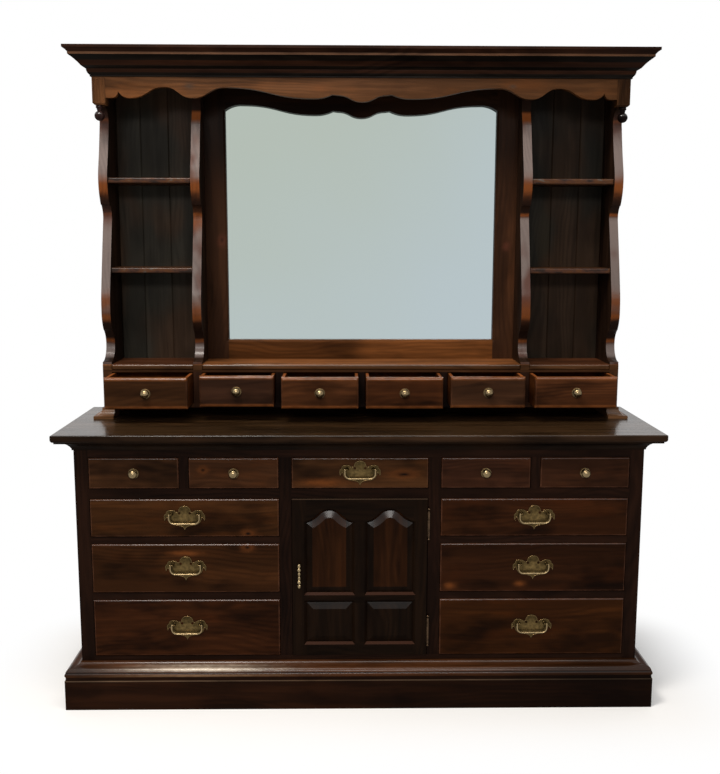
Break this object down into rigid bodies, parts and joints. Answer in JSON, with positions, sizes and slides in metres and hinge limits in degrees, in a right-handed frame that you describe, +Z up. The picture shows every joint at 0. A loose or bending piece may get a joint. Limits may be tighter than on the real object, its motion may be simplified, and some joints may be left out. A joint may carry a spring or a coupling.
{
  "type": "dresser",
  "caption": "Wide pine dresser with a moulded plinth, banks of drawers round a panelled cupboard, and a mirrored hutch of shelves under a cove crown.",
  "frame": {"origin": "on the floor, under the middle of the dresser's top board", "axes": "+X to the dresser's right as seen from the front, +Y to its back, +Z up; its front faces -Y"},
  "size_m": [1.778, 0.495, 1.957],
  "materials": {
    "stained_pine": "satin",
    "amber_pine": "satin",
    "inside_pine": "matte",
    "brass": "aged satin",
    "mirror": "polished"
  },
  "bodies": {
    "cabinet": {"plinth": "stained_pine", "case_sides": "stained_pine", "case_back": "inside_pine", "case_partitions": "inside_pine", "drawer_runners": "inside_pine", "face_frame": "stained_pine", "dresser_top": "stained_pine", "door_hinges": "brass", "hutch_drawer_case": "stained_pine", "tower_sides": "stained_pine", "tower_shelves": "stained_pine", "hutch_backs": "stained_pine", "mirror_frame": "stained_pine", "mirror_glass": "mirror", "valance": "amber_pine", "corner_posts": "stained_pine", "crown": "stained_pine"},
    "small_drawer_1": {"small_drawer_1": "stained_pine", "small_knob_1": "brass"},
    "small_drawer_2": {"small_drawer_2": "stained_pine", "small_knob_2": "brass"},
    "small_drawer_3": {"small_drawer_3": "stained_pine", "small_knob_3": "brass"},
    "small_drawer_4": {"small_drawer_4": "stained_pine", "small_knob_4": "brass"},
    "centre_drawer": {"centre_drawer": "stained_pine", "centre_pull_plate": "brass"},
    "centre_bail": {"centre_bail": "brass"},
    "left_1_drawer": {"left_1_drawer": "stained_pine", "left_1_pull_plate": "brass"},
    "left_1_bail": {"left_1_bail": "brass"},
    "right_1_drawer": {"right_1_drawer": "stained_pine", "right_1_pull_plate": "brass"},
    "right_1_bail": {"right_1_bail": "brass"},
    "left_2_drawer": {"left_2_drawer": "stained_pine", "left_2_pull_plate": "brass"},
    "left_2_bail": {"left_2_bail": "brass"},
    "right_2_drawer": {"right_2_drawer": "stained_pine", "right_2_pull_plate": "brass"},
    "right_2_bail": {"right_2_bail": "brass"},
    "left_3_drawer": {"left_3_drawer": "stained_pine", "left_3_pull_plate": "brass"},
    "left_3_bail": {"left_3_bail": "brass"},
    "right_3_drawer": {"right_3_drawer": "stained_pine", "right_3_pull_plate": "brass"},
    "right_3_bail": {"right_3_bail": "brass"},
    "hutch_drawer_1": {"hutch_drawer_1": "stained_pine", "hutch_knob_1": "brass"},
    "hutch_drawer_2": {"hutch_drawer_2": "stained_pine", "hutch_knob_2": "brass"},
    "hutch_drawer_3": {"hutch_drawer_3": "stained_pine", "hutch_knob_3": "brass"},
    "hutch_drawer_4": {"hutch_drawer_4": "stained_pine", "hutch_knob_4": "brass"},
    "hutch_drawer_5": {"hutch_drawer_5": "stained_pine", "hutch_knob_5": "brass"},
    "hutch_drawer_6": {"hutch_drawer_6": "stained_pine", "hutch_knob_6": "brass"},
    "door": {"door": "stained_pine", "door_hardware": "brass"}
  },
  "joints": [
    {"name": "small_drawer_1_slide", "type": "slide", "parent": "cabinet", "child": "small_drawer_1", "axis": [0, -1, 0], "range_m": [0, 0.32]},
    {"name": "small_drawer_2_slide", "type": "slide", "parent": "cabinet", "child": "small_drawer_2", "axis": [0, -1, 0], "range_m": [0, 0.32]},
    {"name": "small_drawer_3_slide", "type": "slide", "parent": "cabinet", "child": "small_drawer_3", "axis": [0, -1, 0], "range_m": [0, 0.32]},
    {"name": "small_drawer_4_slide", "type": "slide", "parent": "cabinet", "child": "small_drawer_4", "axis": [0, -1, 0], "range_m": [0, 0.32]},
    {"name": "centre_drawer_slide", "type": "slide", "parent": "cabinet", "child": "centre_drawer", "axis": [0, -1, 0], "range_m": [0, 0.32]},
    {"name": "centre_bail_hinge", "type": "hinge", "parent": "centre_drawer", "child": "centre_bail", "pos_m": [0, -0.2111, 0.7285], "axis": [-1, 0, 0], "range_deg": [0, 100]},
    {"name": "left_1_drawer_slide", "type": "slide", "parent": "cabinet", "child": "left_1_drawer", "axis": [0, -1, 0], "range_m": [0, 0.32]},
    {"name": "left_1_bail_hinge", "type": "hinge", "parent": "left_1_drawer", "child": "left_1_bail", "pos_m": [-0.5175, -0.2111, 0.59325], "axis": [-1, 0, 0], "range_deg": [0, 100]},
    {"name": "right_1_drawer_slide", "type": "slide", "parent": "cabinet", "child": "right_1_drawer", "axis": [0, -1, 0], "range_m": [0, 0.32]},
    {"name": "right_1_bail_hinge", "type": "hinge", "parent": "right_1_drawer", "child": "right_1_bail", "pos_m": [0.5175, -0.2111, 0.59325], "axis": [-1, 0, 0], "range_deg": [0, 100]},
    {"name": "left_2_drawer_slide", "type": "slide", "parent": "cabinet", "child": "left_2_drawer", "axis": [0, -1, 0], "range_m": [0, 0.32]},
    {"name": "left_2_bail_hinge", "type": "hinge", "parent": "left_2_drawer", "child": "left_2_bail", "pos_m": [-0.5175, -0.2111, 0.43875], "axis": [-1, 0, 0], "range_deg": [0, 100]},
    {"name": "right_2_drawer_slide", "type": "slide", "parent": "cabinet", "child": "right_2_drawer", "axis": [0, -1, 0], "range_m": [0, 0.32]},
    {"name": "right_2_bail_hinge", "type": "hinge", "parent": "right_2_drawer", "child": "right_2_bail", "pos_m": [0.5175, -0.2111, 0.43875], "axis": [-1, 0, 0], "range_deg": [0, 100]},
    {"name": "left_3_drawer_slide", "type": "slide", "parent": "cabinet", "child": "left_3_drawer", "axis": [0, -1, 0], "range_m": [0, 0.32]},
    {"name": "left_3_bail_hinge", "type": "hinge", "parent": "left_3_drawer", "child": "left_3_bail", "pos_m": [-0.5175, -0.2111, 0.25325], "axis": [-1, 0, 0], "range_deg": [0, 100]},
    {"name": "right_3_drawer_slide", "type": "slide", "parent": "cabinet", "child": "right_3_drawer", "axis": [0, -1, 0], "range_m": [0, 0.32]},
    {"name": "right_3_bail_hinge", "type": "hinge", "parent": "right_3_drawer", "child": "right_3_bail", "pos_m": [0.5175, -0.2111, 0.25325], "axis": [-1, 0, 0], "range_deg": [0, 100]},
    {"name": "hutch_drawer_1_slide", "type": "slide", "parent": "cabinet", "child": "hutch_drawer_1", "axis": [0, -1, 0], "range_m": [-0.118, 0.03]},
    {"name": "hutch_drawer_2_slide", "type": "slide", "parent": "cabinet", "child": "hutch_drawer_2", "axis": [0, -1, 0], "range_m": [-0.078, 0.07]},
    {"name": "hutch_drawer_3_slide", "type": "slide", "parent": "cabinet", "child": "hutch_drawer_3", "axis": [0, -1, 0], "range_m": [-0.112, 0.036]},
    {"name": "hutch_drawer_4_slide", "type": "slide", "parent": "cabinet", "child": "hutch_drawer_4", "axis": [0, -1, 0], "range_m": [-0.114, 0.034]},
    {"name": "hutch_drawer_5_slide", "type": "slide", "parent": "cabinet", "child": "hutch_drawer_5", "axis": [0, -1, 0], "range_m": [-0.1, 0.048]},
    {"name": "hutch_drawer_6_slide", "type": "slide", "parent": "cabinet", "child": "hutch_drawer_6", "axis": [0, -1, 0], "range_m": [-0.102, 0.046]},
    {"name": "door_hinge", "type": "hinge", "parent": "cabinet", "child": "door", "pos_m": [0.2043, -0.2025, 0.3955], "axis": [0, 0, 1], "range_deg": [0, 90]}
  ]
}
